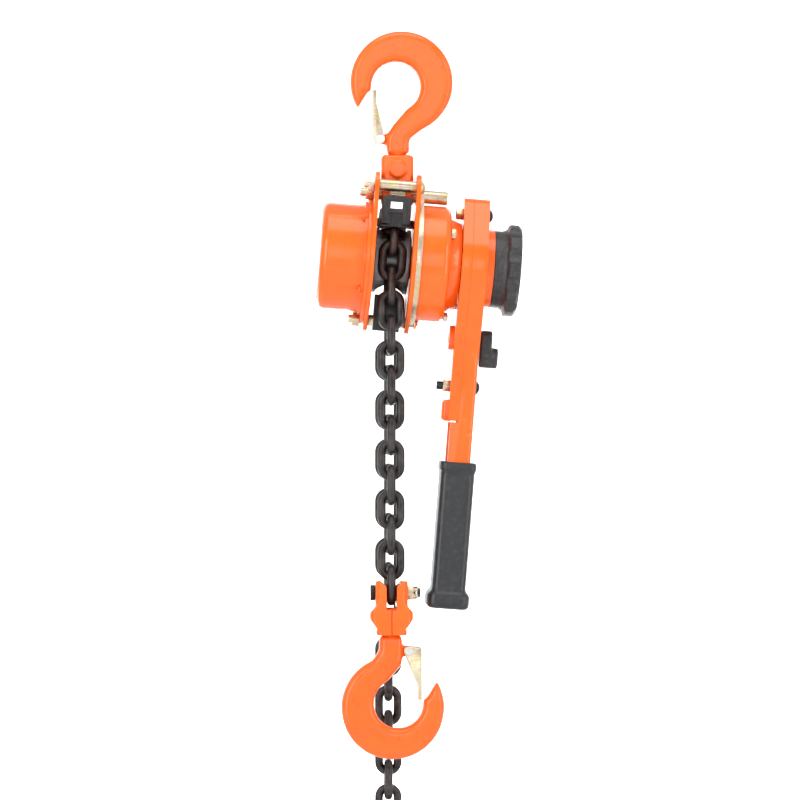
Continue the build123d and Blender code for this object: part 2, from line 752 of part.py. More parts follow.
def gear_cover():
    """The deep cover of the gear case, with three bearing bosses inside."""
    shell = rod_x(gear_cover_radius, cover_end, -case_plate_outer)
    outer_rim = shell.edges().filter_by(GeomType.CIRCLE).sort_by(Axis.X)[0]
    shell = fillet(outer_rim, cover_corner)
    inside = rod_x(gear_cover_radius - cover_wall, cover_end + cover_wall, -case_plate_outer + 1)
    inner_rim = inside.edges().filter_by(GeomType.CIRCLE).sort_by(Axis.X)[0]
    inside = fillet(inner_rim, cover_corner - cover_wall)
    flange = rod_x(cover_flange_radius - 2, -case_plate_outer - 2.2, -case_plate_outer - 0.02)
    body = shell + flange - inside
    for side in (-1, 0, 1):
        body = body + rod_x(5.4 + cover_boss_wall, cover_end + 1.0, boss_face, side * gear_centres, 0)
    for side in (-1, 0, 1):
        body = body - rod_x(5.42, boss_face - 6.6, 0, side * gear_centres, 0)
    nut_room = rod_x(rod_nut_flats / 2 + 2.4, -60, 0, 0, -bottom_stay_drop)
    body = body - nut_room
    for depth, height in cover_screw_places():
        body = body - rod_x(1.6, -60, 0, depth, height)
        body = body - rod_x(2.6, -case_plate_outer - 4.2, -case_plate_outer - 2.2, depth, height)
    return body


def cover_screw_places():
    """Screws through the gear cover's flange."""
    orbit = cover_flange_radius - 2 - 1.2
    angles = [45, 135, 215, 325]
    return [(orbit * cos(radians(angle)), orbit * sin(radians(angle))) for angle in angles]


def gear_cover_screws():
    """Small screws round the gear cover's flange."""
    screws = []
    face = -case_plate_outer - 2.25
    for depth, height in cover_screw_places():
        screws.append(rod_x(1.5, face, -case_plate_outer - 0.05, depth, height))
        screws[-1] = screws[-1] + rod_x(2.4, face - 1.6, face, depth, height)
    return Compound(children=screws)


def drive_shaft():
    """The shaft through the sheave, with the drive pinion at its left end."""
    body = rod_x(shaft_radius, load_gear_end - 1.9, wheel_end - 5.4)
    body = body + gear(pinion_teeth, idler_end - 0.5, load_gear_end - 1.9)
    body = body + rod_x(4.0, boss_face - 6.0, idler_end - 0.4)
    body = body + rod_x(4.2, wheel_end - 5.6, wheel_end - 0.4)
    return body - rod_z(0.9, -10, 10, wheel_end - 2.0)


# ---------------------------------------------------------------- brake

def brake_cover():
    """The brake drum's cover with its cone and the neck that the lever turns on."""
    cone = revolve(Plane.XY * Polygon(
        (drum_end - 1, 0), (drum_end - 1, cone_radius + 2), (drum_end + 0.5, cone_radius + 2),
        (cone_end, cone_radius - 1), (cone_end, 0), align=None,
    ), Axis.X, 360)
    drum = rod_x(drum_radius, drum_start + 0.02, drum_end)
    drum = fillet(drum.edges().filter_by(GeomType.CIRCLE).sort_by(Axis.X)[-1], drum_corner)
    inside = rod_x(drum_radius - drum_wall, 0, drum_end - drum_wall)
    inside = fillet(inside.edges().filter_by(GeomType.CIRCLE).sort_by(Axis.X)[-1], drum_corner - drum_wall)
    inside = inside + rod_x(cone_radius - drum_wall - 1, 0, cone_end - drum_wall)
    neck = rod_x(neck_radius, cone_end - 1, lever_start + neck_reach)
    body = drum + cone + neck - inside - rod_x(change_hub_radius + 1.0, 0, 100)
    for depth, height in cover_stud_places():
        body = body - rod_x(1.7, 0, 60, depth, height)
    head_room = ratchet_plate_outer + head_height + side_gap
    return body - rod_x(stay_head_radius + side_gap, 0, head_room, 0, -bottom_stay_drop)


def cover_stud_places():
    """The studs that hold the brake cover, on its shoulder round the cone."""
    orbit = drum_radius - drum_wall - 2.6
    return [(orbit * cos(radians(angle)), orbit * sin(radians(angle))) for angle in (144, 24, 264)]


def cover_studs():
    """Studs from the ratchet plate through the brake cover, with their nuts."""
    studs = []
    for depth, height in cover_stud_places():
        stud = rod_x(1.6, ratchet_plate_outer + 0.02, drum_end + 3.3, depth, height)
        studs.append(stud + hex_x(6.4, drum_end + 0.05, drum_end + 2.9, depth, height))
    return Compound(children=studs)


def friction_hub():
    """The disc hub that is fixed on the shaft and carries the brake's discs."""
    body = rod_x(friction_radius, hub_start, hub_flange_end)
    body = body + rod_x(hub_sleeve_radius, hub_flange_end - 0.5, change_flange_start - 0.12)
    return body - rod_x(shaft_radius + 0.02, 0, 80)


def friction_disc(start):
    """One brake lining."""
    return ring_x(hub_sleeve_radius + 0.1, friction_radius, start + 0.02, start + friction_thickness - 0.02)


def ratchet_disc():
    """The ratchet disc between the linings."""
    pitch = 2 * pi / ratchet_teeth
    points = []
    for tooth in range(ratchet_teeth):
        angle = tooth * pitch
        points.append((ratchet_root_radius * cos(angle), ratchet_root_radius * sin(angle)))
        points.append((ratchet_radius * cos(angle), ratchet_radius * sin(angle)))
    disc = extrude(Plane.YZ.offset(ratchet_start) * Polygon(*points, align=None), ratchet_thickness)
    return disc - rod_x(hub_sleeve_radius + 0.1, 0, 80)




def pawl_angle(tooth):
    """Angle of a tooth's steep face round the drive axis."""
    return 360.0 * tooth / ratchet_teeth


def pawl_places():
    """Places of the two pawl pins."""
    places = []
    for tooth in pawl_teeth:
        angle = radians(pawl_angle(tooth) - pawl_lean)
        places.append((pawl_pin_orbit * cos(angle), pawl_pin_orbit * sin(angle)))
    return places


def ratchet_pawl(index):
    """A pawl whose nose stands just off the ratchet's steep face."""
    depth, height = pawl_places()[index]
    nose_radius = 1.0
    nose_orbit = ratchet_root_radius + 2.0
    nose_angle = radians(pawl_angle(pawl_teeth[index])) - (nose_radius + 0.3) / nose_orbit
    nose = (nose_orbit * cos(nose_angle), nose_orbit * sin(nose_angle), nose_radius)
    crown_orbit = ratchet_radius + 1.6
    crown = (crown_orbit * cos(nose_angle), crown_orbit * sin(nose_angle), nose_radius)
    start = ratchet_start + 0.2
    body = hull_x([(depth, height, 4.2), nose, crown], start, start + pawl_thickness)
    return body - rod_x(pawl_pin_radius + running_gap, 0, 80, depth, height)


def pawl_pins():
    """Riveted pins of the pawls, each with a shoulder and a head."""
    pins = []
    start = ratchet_start + 0.2
    for depth, height in pawl_places():
        pin = rod_x(pawl_pin_radius - 0.42, plate_outer + 0.3, ratchet_plate_outer + 1, depth, height)
        pin = pin + rod_x(3.6, ratchet_plate_outer + 0.02, start - 0.1, depth, height)
        pin = pin + rod_x(pawl_pin_radius, start - 0.2, start + pawl_thickness + 2.4, depth, height)
        pin = pin + rod_x(3.6, start + pawl_thickness + 2.4, start + pawl_thickness + 3.4, depth, height)
        pins.append(pin)
    return Compound(children=pins)


def pawl_spring(index):
    """The torsion spring that presses a pawl on the ratchet."""
    depth, height = pawl_places()[index]
    start = ratchet_start + 0.2 + pawl_thickness + 0.15
    return ring_x(pawl_pin_radius + 0.1, pawl_pin_radius + 1.1, start, start + 2.0, depth, height)


def change_gear():
    """The gear that the lever works through, with the flange that clamps the brake."""
    body = rod_x(friction_radius, change_flange_start, change_flange_end)
    body = body + rod_x(change_hub_radius, change_flange_start + 1, boss_end - 1.4)
    points = []
    pitch = 2 * pi / change_gear_teeth
    tooth_shape = ((change_gear_root_radius, 0.24), (change_gear_radius, 0.14))
    for tooth in range(change_gear_teeth):
        middle = tooth * pitch
        rising = [(radius, middle - share * pitch) for radius, share in tooth_shape]
        falling = [(radius, middle + share * pitch) for radius, share in reversed(tooth_shape)]
        points += [(radius * cos(angle), radius * sin(angle)) for radius, angle in rising + falling]
    outline = Polygon(*points, align=None)
    body = body + extrude(Plane.YZ.offset(change_gear_start) * outline, change_gear_width)
    body = body - rod_x(shaft_radius + 0.02, 0, 100)
    for side in (-1, 1):
        body = body - drive_lug(side, 0.3)
    return body


def drive_lug(side, grow=0.0):
    """A lug of the handwheel that enters a notch in the change gear's hub."""
    heights = sorted((side * (9.0 - grow), side * (12.6 + grow + (2 if grow else 0))))
    return block((boss_end - 4.0 - grow, collar_start + 4.6), (-3.0 - grow, 3.0 + grow), heights)


# ---------------------------------------------------------------- lever

def lever_outline(start, end, shrink, bar_drop):
    """The lever's solid outline between two places along the drive axis."""
    middle = (0, 0, lever_head_radius - shrink)
    head = hull_x([middle, (0, lever_lug_height, lever_lug_radius - shrink)], start, end)
    foot = hull_x([middle, (0, -selector_drop - 6, 15 - shrink)], start, end)
    half = lever_bar_width / 2 - shrink
    bar = block((start, end), (-half, half), (-bar_drop + shrink, -20))
    return head + foot + bar


def lever_rod_holes(body, start, end):
    """Cut the lever's bolts and the selector's shaft."""
    body = body - rod_x(3.1, start, end, 0, lever_lug_height)
    body = body - rod_x(3.1, start, end, 0, -lever_bolt_drop)
    return body - rod_x(4.0 + running_gap, start, end, 0, -selector_drop)


def lever_outer_half():
    """The right half of the lever, whose channel bar runs down into the grip."""
    bar_end = lever_length - 6.0
    half = lever_bar_width / 2
    body = lever_outline(lever_split, lever_end, 0, inner_half_drop)
    body = body + block((lever_split, lever_end), (-half, half), (-bar_end, -inner_half_drop + 10))
    body = body + block((lever_bar_start, lever_end), (-half, half), (-bar_end, -inner_half_drop - 1.0))
    long_edges = body.edges().filter_by(Axis.Z).filter_by(lambda edge: edge.center().X > lever_end - 0.1)
    body = fillet(long_edges, 3.0)
    body = body + rod_x(lever_boss_radius, lever_end - 1, boss_end)
    body = body - lever_outline(lever_split - 5, lever_end - lever_wall, lever_wall, bar_end - lever_wall)
    room = (lever_bar_start - 5, lever_end - lever_wall)
    body = body - block(room, (-half + lever_wall, half - lever_wall), (-bar_end - 1, -60))
    body = body - rod_x(change_hub_radius + turning_gap, 0, 100)
    return lever_rod_holes(body, 50, 100)


def lever_inner_half():
    """The left half of the lever, which turns on the brake cover's neck."""
    end = lever_split - 0.05
    body = lever_outline(lever_start, end, 0, inner_half_drop)
    body = body - lever_outline(lever_start + lever_wall, end + 5, lever_wall, inner_half_drop)
    body = body + rod_x(neck_radius + 4.0, lever_start, lever_start + neck_reach + 0.4)
    body = body + rod_x(9.0, lever_start - 3.4, lever_start + 3, 0, -selector_drop)
    lump_heights = (-inner_half_drop - 0.5, -inner_half_drop + 15)
    lump = block((lever_start - 4.8, lever_start + 2.0), (-9, 9), lump_heights)
    lump = fillet(lump.edges().filter_by(lambda edge: edge.center().X < lever_start - 4.7), 3.0)
    body = body + lump
    body = body - rod_x(neck_radius + turning_gap, 0, 100)
    return lever_rod_holes(body, 30, 60)


def lever_bolt(height, reach_left):
    """A domed bolt through both halves of the lever."""
    body = rod_x(3.0, lever_start - reach_left, lever_end + 0.1, 0, height)
    return body + dome_x(5.6, 3.4, lever_end + 0.02, 0, height)


def lever_nut(height):
    """The nut of a lever bolt."""
    body = hex_x(lever_nut_flats, lever_start - 5.0, lever_start - 0.02, 0, height)
    return body - rod_x(3.02, 0, 100, 0, height)


def lever_grip():
    """The rubber grip with its end flange."""
    middle = (lever_bar_start + lever_end) / 2
    half_x = grip_thickness / 2
    half_y = grip_width / 2
    sleeve = block((middle - half_x, middle + half_x), (-half_y, half_y), (-lever_length, bar_bottom))
    sleeve = fillet(sleeve.edges().filter_by(Axis.Z), 5.0)
    flange = block(
        (middle - half_x - 3.2, middle + half_x + 3.2), (-half_y - 3.2, half_y + 3.2),
        (-lever_length, -lever_length + grip_flange_length),
    )
    flange = fillet(flange.edges().filter_by(Axis.Z), 7.0)
    flange = chamfer(flange.faces().sort_by(Axis.Z)[-1].edges(), 2.8)
    flange = chamfer(flange.faces().sort_by(Axis.Z)[0].edges(), 2.0)
    rim_sides = (middle - half_x - 1, middle + half_x + 1)
    rim = block(rim_sides, (-half_y - 1, half_y + 1), (bar_bottom - 6, bar_bottom + 0.6))
    rim = fillet(rim.edges().filter_by(Axis.Z), 5.5)
    body = sleeve + flange + rim
    fit = 0.03
    half = lever_bar_width / 2 + fit
    bar_end = lever_length - 6.0 + fit
    return body - block((lever_bar_start - fit, lever_end + fit), (-half, half), (-bar_end, 0))


def selector_knob():
    """The black change knob on the lever's right face."""
    start = lever_end + 1.2
    hub = hull_x([(0, -selector_drop + 0.6, 6.6), (0, -selector_drop - 5, 6.6)], start, start + 8.4)
    wing = hull_x([(0, -selector_drop - 11, 6.0), (0, -selector_drop - 14, 6.0)], start, start + 13.4)
    neck = hull_x([(0, -selector_drop - 4, 5.4), (0, -selector_drop - 12, 5.4)], start, start + 8.4)
    body = hub + neck + wing
    return body - rod_x(3.0, 0, start + 6.0, 0, -selector_drop)


def change_pawl():
    """The two-armed change pawl and its shaft, which the knob turns."""
    start = lever_start + neck_reach + 1.0
    end = lever_end - lever_wall - 0.6
    reach = change_pawl_reach
    body = rod_x(7.0, start, end, 0, -selector_drop)
    for side in (-1, 1):
        angle = radians(change_pawl_spread) * side
        tip = (reach * sin(angle), -selector_drop + reach * cos(angle), 0.8)
        elbow = ((reach - 6) * sin(angle * 1.15), -selector_drop + (reach - 6) * cos(angle * 1.15), 2.4)
        arm = hull_x([tip, elbow], change_gear_start, end)
        arm = arm + hull_x([elbow, (0, -selector_drop, 5.5)], change_gear_start, end)
        body = body + arm
    tail = hull_x([(0, -selector_drop, 5.0), (0, -selector_drop - 9, 2.2)], start, end)
    shaft = rod_x(4.0, lever_start - 2.6, lever_end + 0.8, 0, -selector_drop)
    stub = rod_x(2.98, lever_end, lever_end + 7.0, 0, -selector_drop)
    return body + tail + shaft + stub


def detent_plunger():
    """The plunger that holds the change pawl in its place."""
    top = -selector_drop - 9 - 2.2 - 0.5
    middle = (lever_split + lever_end - lever_wall) / 2 + 0.5
    body = rod_z(3.0, top - 7, top - 2.9, middle) + Pos(middle, 0, top - 3) * Sphere(3.0)
    return body


def detent_spring():
    """The coil spring behind the plunger."""
    top = -selector_drop - 9 - 2.2 - 0.5 - 7.05
    middle = (lever_split + lever_end - lever_wall) / 2 + 0.5
    return rod_z(2.9, -lever_bolt_drop + 4.0, top, middle) - rod_z(1.9, -200, 0, middle)


# ---------------------------------------------------------------- handwheel

def handwheel():
    """The black handwheel with its collar, scalloped rim and driving lugs."""
    profile = Polygon(
        (collar_start, 0), (collar_start, collar_radius), (collar_start + 5.4, collar_radius),
        (wheel_start + 0.6, collar_radius + 1.4), (wheel_start + 2.6, wheel_radius),
        (wheel_end - 2.4, wheel_radius), (wheel_end, wheel_radius - 2.6), (wheel_end, 0), align=None,
    )
    body = revolve(Plane.XY * profile, Axis.X, 360)
    for index in range(wheel_scallops):
        angle = 2 * pi * (index + 0.5) / wheel_scallops
        orbit = wheel_radius + 6.6
        body = body - rod_x(9.0, wheel_start + 1.6, 120, orbit * cos(angle), orbit * sin(angle))
    web_start = collar_start + 4.6
    body = body - rod_x(collar_radius - 4.0, 0, web_start)
    body = body - rod_x(collar_radius - 7.0, web_start + 3.0, 120)
    body = body - rod_x(shaft_radius + turning_gap, 0, 120)
    return body + drive_lug(-1) + drive_lug(1)


def freewheel_spring():
    """The spring between the handwheel's web and the washer."""
    return ring_x(shaft_radius + 0.4, shaft_radius + 3.4, collar_start + 7.7, wheel_end - 5.45)


def end_washer():
    """Washer under the castle nut at the end of the drive shaft."""
    return ring_x(4.22, 11.0, wheel_end - 5.38, wheel_end - 4.4)


def shaft_nut():
    """Castle nut at the end of the drive shaft."""
    start = wheel_end - 4.35
    body = hex_x(14.0, start, start + 3.2)
    for turn in range(3):
        body = body - Rot(60 * turn, 0, 0) * block((start + 1.4, start + 8), (-1.2, 1.2), (-10, 10))
    return body - rod_x(4.22, 0, 120)


def shaft_split_pin():
    """Split pin through the drive shaft's castle nut."""
    place = wheel_end - 2.0
    return rod_z(0.8, -7.6, 7.6, place) + Pos(place, 0, 8.6) * Rot(0, 90, 0) * Torus(1.4, 0.7)


# ---------------------------------------------------------------- the pieces

def on_load_hook(solid):
    """Put a piece of the bottom hook in the row frame."""
    return Pos(run_side - bottom_shank_side, load_depth, bottom_bowl_height) * solid


def on_top_hook(solid):
    """Put a piece of the top hook in the row frame."""
    return Rot(0, 180, 0) * solid


row_nodes = {
    "top_hook": top_hook(),
    "top_latch": on_top_hook(hook_latch(top_shank_side)),
    "top_latch_rivet": on_top_hook(hook_latch_pin(top_shank_side)),
    "top_yoke": top_yoke(),
    "load_chain": run_of_links(load_links, load_depth),
    "slack_chain": run_of_links(slack_links, slack_depth),
    "chain_end_ring": chain_end_ring(),
    "bottom_yoke_left_half": bottom_yoke_half(True),
    "bottom_yoke_right_half": bottom_yoke_half(False),
    "chain_bolt": chain_bolt(),
    "chain_bolt_nut": chain_bolt_nut(),
    "chain_bolt_split_pin": chain_bolt_split_pin(),
    "bottom_hook": bottom_hook(),
    "bottom_latch": on_load_hook(hook_latch(bottom_shank_side)),
    "bottom_latch_rivet": on_load_hook(hook_latch_pin(bottom_shank_side)),
}

hoist_nodes = {
    "gear_side_plate": side_plate(False),
    "brake_side_plate": side_plate(True),
    "gear_case_plate": gear_case_plate(),
    "ratchet_plate": ratchet_plate(),
    "suspension_pin": suspension_pin(),
    "stay_bolts": stay_bolts(),
    "rod_nuts": rod_nuts(),
    "sheave_bearings": sheave_bearings(),
    "chain_guide": chain_guide(),
    "chain_stripper": chain_stripper(),
    "gear_cover": gear_cover(),
    "gear_cover_screws": gear_cover_screws(),
    "idler_bushes": idler_bushes(),
    "load_sheave": load_sheave(),
    "load_gear": load_gear(),
    "load_gear_snap_ring": load_gear_ring(),
    "wrapped_chain": links_on_sheave(),
    "front_idler_gear": idler_gear(-1),
    "rear_idler_gear": idler_gear(1),
    "drive_shaft": drive_shaft(),
    "brake_cover": brake_cover(),
    "brake_cover_studs": cover_studs(),
    "friction_hub": friction_hub(),
    "brake_linings": Compound(children=[friction_disc(hub_flange_end), friction_disc(outer_disc_start)]),
    "ratchet_disc": ratchet_disc(),
    "front_ratchet_pawl": ratchet_pawl(1),
    "rear_ratchet_pawl": ratchet_pawl(0),
    "pawl_springs": Compound(children=[pawl_spring(0), pawl_spring(1)]),
    "pawl_pins": pawl_pins(),
    "change_gear": change_gear(),
    "lever_outer_half": lever_outer_half(),
    "lever_inner_half": lever_inner_half(),
    "lever_bolts": Compound(children=[lever_bolt(lever_lug_height, 5.2), lever_bolt(-lever_bolt_drop, 9.5)]),
    "lever_nuts": Compound(children=[lever_nut(lever_lug_height), lever_nut(-lever_bolt_drop)]),
    "lever_grip": lever_grip(),
    "selector_knob": selector_knob(),
    "change_pawl": change_pawl(),
    "detent_plunger": detent_plunger(),
    "detent_spring": detent_spring(),
    "handwheel": handwheel(),
    "freewheel_spring": freewheel_spring(),
    "end_washer": end_washer(),
    "shaft_nut": shaft_nut(),
    "shaft_split_pin": shaft_split_pin(),
}

os.makedirs("parts", exist_ok=True)
for node, solid in row_nodes.items():
    save(node, solid)
for node, solid in hoist_nodes.items():
    save(node, in_hoist(solid))
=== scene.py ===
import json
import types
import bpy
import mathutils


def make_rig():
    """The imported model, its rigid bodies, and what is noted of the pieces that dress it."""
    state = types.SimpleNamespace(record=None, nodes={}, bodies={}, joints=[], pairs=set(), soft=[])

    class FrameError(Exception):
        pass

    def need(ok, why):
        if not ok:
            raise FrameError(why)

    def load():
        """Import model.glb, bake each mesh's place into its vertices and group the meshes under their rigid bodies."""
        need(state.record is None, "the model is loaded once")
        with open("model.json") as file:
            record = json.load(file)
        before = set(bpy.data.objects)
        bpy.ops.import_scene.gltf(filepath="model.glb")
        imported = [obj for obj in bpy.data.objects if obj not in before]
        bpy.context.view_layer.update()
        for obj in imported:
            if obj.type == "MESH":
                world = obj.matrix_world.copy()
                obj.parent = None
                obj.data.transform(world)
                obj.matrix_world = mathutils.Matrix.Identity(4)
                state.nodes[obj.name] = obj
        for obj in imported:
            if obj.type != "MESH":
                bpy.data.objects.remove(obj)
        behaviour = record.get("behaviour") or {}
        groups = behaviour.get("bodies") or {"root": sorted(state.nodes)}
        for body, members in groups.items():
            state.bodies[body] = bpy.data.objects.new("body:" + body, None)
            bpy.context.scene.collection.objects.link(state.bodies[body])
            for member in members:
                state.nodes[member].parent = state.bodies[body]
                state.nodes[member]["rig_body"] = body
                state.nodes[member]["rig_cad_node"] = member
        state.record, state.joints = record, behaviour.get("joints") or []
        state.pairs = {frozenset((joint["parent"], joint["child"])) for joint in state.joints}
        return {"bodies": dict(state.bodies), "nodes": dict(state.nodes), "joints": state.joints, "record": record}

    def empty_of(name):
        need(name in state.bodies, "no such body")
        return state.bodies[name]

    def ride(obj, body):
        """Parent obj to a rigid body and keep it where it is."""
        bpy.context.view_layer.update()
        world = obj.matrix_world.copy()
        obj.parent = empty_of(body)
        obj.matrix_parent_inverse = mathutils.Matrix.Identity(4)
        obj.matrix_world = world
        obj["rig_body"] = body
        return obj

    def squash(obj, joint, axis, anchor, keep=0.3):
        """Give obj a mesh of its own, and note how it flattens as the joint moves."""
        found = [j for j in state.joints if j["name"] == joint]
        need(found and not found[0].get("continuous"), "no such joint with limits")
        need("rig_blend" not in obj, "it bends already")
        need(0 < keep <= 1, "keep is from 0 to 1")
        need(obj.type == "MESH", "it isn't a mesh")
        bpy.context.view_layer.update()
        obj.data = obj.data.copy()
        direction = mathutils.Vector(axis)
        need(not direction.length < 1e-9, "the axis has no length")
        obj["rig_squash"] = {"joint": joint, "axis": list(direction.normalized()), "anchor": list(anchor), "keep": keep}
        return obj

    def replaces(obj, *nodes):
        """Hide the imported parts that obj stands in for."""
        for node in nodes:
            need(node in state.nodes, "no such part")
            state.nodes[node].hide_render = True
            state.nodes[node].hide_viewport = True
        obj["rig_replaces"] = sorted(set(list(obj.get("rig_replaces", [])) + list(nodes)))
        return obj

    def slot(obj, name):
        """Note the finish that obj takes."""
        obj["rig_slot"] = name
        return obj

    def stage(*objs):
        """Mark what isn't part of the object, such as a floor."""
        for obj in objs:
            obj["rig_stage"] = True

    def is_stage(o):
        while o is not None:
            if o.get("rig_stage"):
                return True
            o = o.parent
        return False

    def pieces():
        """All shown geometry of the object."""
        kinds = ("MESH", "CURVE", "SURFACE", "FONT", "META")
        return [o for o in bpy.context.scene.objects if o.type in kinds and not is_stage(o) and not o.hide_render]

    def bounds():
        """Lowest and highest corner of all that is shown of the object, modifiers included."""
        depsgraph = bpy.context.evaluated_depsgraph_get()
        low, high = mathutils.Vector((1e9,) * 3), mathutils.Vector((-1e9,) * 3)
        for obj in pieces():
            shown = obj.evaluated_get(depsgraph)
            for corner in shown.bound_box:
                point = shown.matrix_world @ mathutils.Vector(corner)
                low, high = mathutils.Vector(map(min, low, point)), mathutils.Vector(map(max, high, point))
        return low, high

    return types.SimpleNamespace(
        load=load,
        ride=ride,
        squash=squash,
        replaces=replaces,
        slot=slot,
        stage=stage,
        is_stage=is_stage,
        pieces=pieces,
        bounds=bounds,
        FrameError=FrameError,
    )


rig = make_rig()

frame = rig.load()

import json
from math import cos, pi, radians, sin

import bmesh
import bpy
from mathutils import Vector

CAD_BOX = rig.bounds()

VIEW_CENTRE = Vector((0.0031, 0.0, -0.2271))  # what the camera and the soft boxes face, metres
FLOOR_GAP = 0.12                    # from the lowest point of the hoist down to the floor, metres
BACKDROP_REACH = 7.0                # radius of the backdrop's wall, metres
BACKDROP_CORNER = 3.0               # radius of the curve from floor to wall, metres
BACKDROP_TOP = 4.5                  # height of the wall, metres
BACKDROP_STEPS = 16                 # straight pieces in that curve
SKY_STRENGTH = 0.6

MERGE_DISTANCE = 2e-6               # points this near are one point, metres
FLAT_ANGLE = radians(0.6)           # triangles this near to flat become one face
BEVEL_ANGLE = radians(28)           # edges sharper than this are rounded
CREASE_ANGLE = radians(38)          # edges sharper than this stay crisp in the shading

HOOK_PASSES = 34                    # smoothing passes on the hooks
YOKE_PASSES = 10
KNOB_PASSES = 26
GRIP_PASSES = 24
YOKE_SKIN = 0.8                     # grain of a yoke's skin, as a share of the forgings' grain
KNOB_SKIN = 0.5                     # grain of the knob's skin, as a share of the mouldings' rounding
GRIP_SKIN = 0.7

COIL_SIDES = 10                     # sides of a spring's round wire
COIL_STEPS = 28                     # straight pieces in one turn of a spring
COIL_PITCH = 3.1                    # from turn to turn of a spring, in wire radii

bl_info = {
    "name": "Lever Chain Hoist",
    "version": (1, 0, 0),
    "blender": (4, 5, 0),
    "location": "View3D > Sidebar > Hoist",
    "description": "Finishes, rounded edges and wound springs for a lever chain hoist",
    "category": "Object",
}


# ---------------------------------------------------------------- sizes and colours

class HoistSizes(bpy.types.PropertyGroup):
    """Sizes that a user may change."""
    casting_round: bpy.props.FloatProperty(
        name="Casting round", description="Rounding of cast and pressed covers", default=0.0012, unit="LENGTH")
    plate_round: bpy.props.FloatProperty(
        name="Plate round", description="Rounding of stamped plate edges", default=0.0005, unit="LENGTH")
    forging_skin: bpy.props.FloatProperty(
        name="Forging skin", description="Grain of the forgings' even skin", default=0.0008, unit="LENGTH")
    moulding_round: bpy.props.FloatProperty(
        name="Moulding round", description="Rounding of plastic and rubber pieces", default=0.0011, unit="LENGTH")
    fastener_round: bpy.props.FloatProperty(
        name="Fastener round", description="Rounding of nuts, pins and screws", default=0.00035, unit="LENGTH")
    camera_distance: bpy.props.FloatProperty(
        name="Camera distance", description="From the camera to the hoist", default=3.0, unit="LENGTH")
    camera_side: bpy.props.FloatProperty(
        name="Camera side", description="Turn of the camera to the left of the front", default=radians(-3.0),
        subtype="ANGLE")
    view_width: bpy.props.FloatProperty(
        name="View width", description="Width of the picture at the hoist", default=0.5805, unit="LENGTH")


class HoistColours(bpy.types.PropertyGroup):
    """Colours that a user may change."""
    enamel: bpy.props.FloatVectorProperty(
        name="Enamel", description="Glossy enamel of the body", subtype="COLOR", size=3,
        default=(0.93, 0.128, 0.004))
    hook_paint: bpy.props.FloatVectorProperty(
        name="Hook paint", description="Paint of the forged hooks", subtype="COLOR", size=3,
        default=(0.92, 0.12, 0.004))
    chain: bpy.props.FloatVectorProperty(
        name="Chain", description="Blackened chain steel", subtype="COLOR", size=3,
        default=(0.045, 0.041, 0.040))
    zinc_yellow: bpy.props.FloatVectorProperty(
        name="Yellow zinc", description="Yellow chromate plating", subtype="COLOR", size=3,
        default=(0.60, 0.50, 0.27))
    zinc_bright: bpy.props.FloatVectorProperty(
        name="Bright zinc", description="Clear zinc plating", subtype="COLOR", size=3,
        default=(0.62, 0.60, 0.54))
    plastic: bpy.props.FloatVectorProperty(
        name="Plastic", description="Black moulded plastic", subtype="COLOR", size=3,
        default=(0.022, 0.022, 0.024))
    rubber: bpy.props.FloatVectorProperty(
        name="Rubber", description="Black rubber of the grip", subtype="COLOR", size=3,
        default=(0.016, 0.017, 0.019))


def sizes():
    """The sizes in use."""
    return bpy.context.scene.hoist_sizes


def colours():
    """The colours in use."""
    return bpy.context.scene.hoist_colours


# ---------------------------------------------------------------- shader groups

def new_group(name, inputs, outputs):
    """A shader node group with named sockets, its input and output nodes placed."""
    group = bpy.data.node_groups.new(name, "ShaderNodeTree")
    for label, kind, value in inputs:
        socket = group.interface.new_socket(name=label, in_out="INPUT", socket_type=kind)
        socket.default_value = value
    for label, kind in outputs:
        group.interface.new_socket(name=label, in_out="OUTPUT", socket_type=kind)
    return group, group.nodes.new("NodeGroupInput"), group.nodes.new("NodeGroupOutput")


def noise(tree, scale, detail=4.0, roughness=0.55, stretch=None):
    """A noise texture on object coordinates, its scale set or linked."""
    coordinates = tree.nodes.new("ShaderNodeTexCoord")
    texture = tree.nodes.new("ShaderNodeTexNoise")
    texture.inputs["Detail"].default_value = detail
    texture.inputs["Roughness"].default_value = roughness
    if stretch:
        mapping = tree.nodes.new("ShaderNodeMapping")
        mapping.inputs["Scale"].default_value = stretch
        tree.links.new(coordinates.outputs["Object"], mapping.inputs["Vector"])
        tree.links.new(mapping.outputs["Vector"], texture.inputs["Vector"])
    else:
        tree.links.new(coordinates.outputs["Object"], texture.inputs["Vector"])
    if isinstance(scale, (int, float)):
        texture.inputs["Scale"].default_value = scale
    else:
        tree.links.new(scale, texture.inputs["Scale"])
    return texture.outputs["Fac"]


def remap(tree, value, low, high, out_low=0.0, out_high=1.0):
    """A clamped map from one range to another."""
    node = tree.nodes.new("ShaderNodeMapRange")
    settings = {"Value": value, "From Min": low, "From Max": high, "To Min": out_low, "To Max": out_high}
    for label, given in settings.items():
        if isinstance(given, (int, float)):
            node.inputs[label].default_value = given
        else:
            tree.links.new(given, node.inputs[label])
    return node.outputs["Result"]


def math_node(tree, operation, first, second):
    """One arithmetic step."""
    node = tree.nodes.new("ShaderNodeMath")
    node.operation = operation
    for index, given in enumerate((first, second)):
        if isinstance(given, (int, float)):
            node.inputs[index].default_value = given
        else:
            tree.links.new(given, node.inputs[index])
    return node.outputs[0]


def mix_colour(tree, factor, first, second):
    """A mix of two colours."""
    node = tree.nodes.new("ShaderNodeMix")
    node.data_type = "RGBA"
    for label, given in ((0, factor), (6, first), (7, second)):
        if isinstance(given, (int, float)):
            node.inputs[label].default_value = given
        elif isinstance(given, (tuple, list)):
            node.inputs[label].default_value = (*given[:3], 1.0)
        else:
            tree.links.new(given, node.inputs[label])
    return node.outputs[2]


